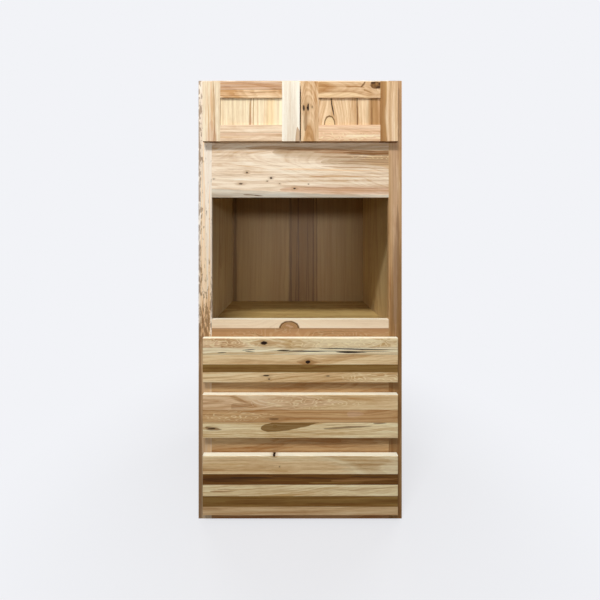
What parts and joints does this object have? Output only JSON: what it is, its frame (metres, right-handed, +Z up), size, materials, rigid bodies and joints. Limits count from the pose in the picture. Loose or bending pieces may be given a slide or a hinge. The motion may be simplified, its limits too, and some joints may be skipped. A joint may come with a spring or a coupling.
{
  "type": "oven cabinet",
  "caption": "Tall face-frame cabinet for a built-in oven: framed doors over an open bay, with slab-front drawers on roller runners below.",
  "frame": {"origin": "on the floor under the middle of the cabinet's overall box, door fronts included", "axes": "+Z up, the front faces -Y, +X to the right of someone who looks at the front"},
  "size_m": [0.838, 0.632, 1.805],
  "materials": {
    "hickory_frame": "unfinished, sanded",
    "hickory_door": "unfinished, sanded",
    "hickory_drawer": "unfinished, sanded",
    "plywood": "veneered, unfinished",
    "plain_wood": "sawn",
    "box_wood": "sanded",
    "hinge_steel": "nickel plated",
    "runner_enamel": "baked enamel",
    "bracket_plastic": "moulded",
    "nylon": "moulded"
  },
  "bodies": {
    "cabinet": {"left_stile": "hickory_frame", "right_stile": "hickory_frame", "top_rail": "hickory_frame", "oven_head_rail": "hickory_frame", "oven_sill_rail": "hickory_frame", "upper_drawer_rail": "hickory_frame", "lower_drawer_rail": "hickory_frame", "bottom_rail": "hickory_frame", "left_side_panel": "plywood", "right_side_panel": "plywood", "back_panel": "plywood", "top_panel": "plywood", "cupboard_floor": "plywood", "oven_shelf": "plywood", "bottom_panel": "plywood", "hanging_rails": "plain_wood", "shelf_cleats": "plain_wood", "hinge_arms": "hinge_steel", "cabinet_runners": "runner_enamel", "runner_brackets": "bracket_plastic"},
    "left_door": {"left_door_hinge_stile": "hickory_door", "left_door_meeting_stile": "hickory_door", "left_door_top_rail": "hickory_door", "left_door_bottom_rail": "hickory_door", "left_door_panel": "hickory_door", "left_hinge_cups": "hinge_steel"},
    "right_door": {"right_door_hinge_stile": "hickory_door", "right_door_meeting_stile": "hickory_door", "right_door_top_rail": "hickory_door", "right_door_bottom_rail": "hickory_door", "right_door_panel": "hickory_door", "right_hinge_cups": "hinge_steel"},
    "upper_drawer": {"upper_drawer_front": "hickory_drawer", "upper_drawer_box_front": "box_wood", "upper_drawer_box_back": "box_wood", "upper_drawer_left_side": "box_wood", "upper_drawer_right_side": "box_wood", "upper_drawer_bottom": "box_wood", "upper_drawer_runners": "runner_enamel"},
    "upper_front_roller_pair": {"upper_front_rollers": "nylon"},
    "upper_rear_roller_pair": {"upper_rear_rollers": "nylon"},
    "middle_drawer": {"middle_drawer_front": "hickory_drawer", "middle_drawer_box_front": "box_wood", "middle_drawer_box_back": "box_wood", "middle_drawer_left_side": "box_wood", "middle_drawer_right_side": "box_wood", "middle_drawer_bottom": "box_wood", "middle_drawer_runners": "runner_enamel"},
    "middle_front_roller_pair": {"middle_front_rollers": "nylon"},
    "middle_rear_roller_pair": {"middle_rear_rollers": "nylon"},
    "lower_drawer": {"lower_drawer_front": "hickory_drawer", "lower_drawer_box_front": "box_wood", "lower_drawer_box_back": "box_wood", "lower_drawer_left_side": "box_wood", "lower_drawer_right_side": "box_wood", "lower_drawer_bottom": "box_wood", "lower_drawer_runners": "runner_enamel"},
    "lower_front_roller_pair": {"lower_front_rollers": "nylon"},
    "lower_rear_roller_pair": {"lower_rear_rollers": "nylon"}
  },
  "joints": [
    {"name": "left_door_swing", "type": "hinge", "parent": "cabinet", "child": "left_door", "pos_m": [-0.38803, -0.3065, 1.67], "axis": [0, 0, -1], "range_deg": [0, 105]},
    {"name": "right_door_swing", "type": "hinge", "parent": "cabinet", "child": "right_door", "pos_m": [0.38803, -0.3065, 1.67], "axis": [0, 0, 1], "range_deg": [0, 105]},
    {"name": "upper_drawer_slide", "type": "slide", "parent": "cabinet", "child": "upper_drawer", "axis": [0, -1, 0], "range_m": [0, 0.42]},
    {"name": "upper_front_roller_turn", "type": "hinge", "parent": "cabinet", "child": "upper_front_roller_pair", "pos_m": [0, -0.28, 0.60255], "axis": [1, 0, 0], "continuous": true},
    {"name": "upper_rear_roller_turn", "type": "hinge", "parent": "upper_drawer", "child": "upper_rear_roller_pair", "pos_m": [0, 0.224, 0.59745], "axis": [1, 0, 0], "continuous": true},
    {"name": "middle_drawer_slide", "type": "slide", "parent": "cabinet", "child": "middle_drawer", "axis": [0, -1, 0], "range_m": [0, 0.42]},
    {"name": "middle_front_roller_turn", "type": "hinge", "parent": "cabinet", "child": "middle_front_roller_pair", "pos_m": [0, -0.28, 0.37755], "axis": [1, 0, 0], "continuous": true},
    {"name": "middle_rear_roller_turn", "type": "hinge", "parent": "middle_drawer", "child": "middle_rear_roller_pair", "pos_m": [0, 0.224, 0.37245], "axis": [1, 0, 0], "continuous": true},
    {"name": "lower_drawer_slide", "type": "slide", "parent": "cabinet", "child": "lower_drawer", "axis": [0, -1, 0], "range_m": [0, 0.42]},
    {"name": "lower_front_roller_turn", "type": "hinge", "parent": "cabinet", "child": "lower_front_roller_pair", "pos_m": [0, -0.28, 0.06455], "axis": [1, 0, 0], "continuous": true},
    {"name": "lower_rear_roller_turn", "type": "hinge", "parent": "lower_drawer", "child": "lower_rear_roller_pair", "pos_m": [0, 0.224, 0.05945], "axis": [1, 0, 0], "continuous": true}
  ],
  "couplings": [
    {"joint": "upper_front_roller_turn", "follows": "upper_drawer_slide", "rad_per_m": 111.11},
    {"joint": "upper_rear_roller_turn", "follows": "upper_drawer_slide", "rad_per_m": 111.11},
    {"joint": "middle_front_roller_turn", "follows": "middle_drawer_slide", "rad_per_m": 111.11},
    {"joint": "middle_rear_roller_turn", "follows": "middle_drawer_slide", "rad_per_m": 111.11},
    {"joint": "lower_front_roller_turn", "follows": "lower_drawer_slide", "rad_per_m": 111.11},
    {"joint": "lower_rear_roller_turn", "follows": "lower_drawer_slide", "rad_per_m": 111.11}
  ]
}
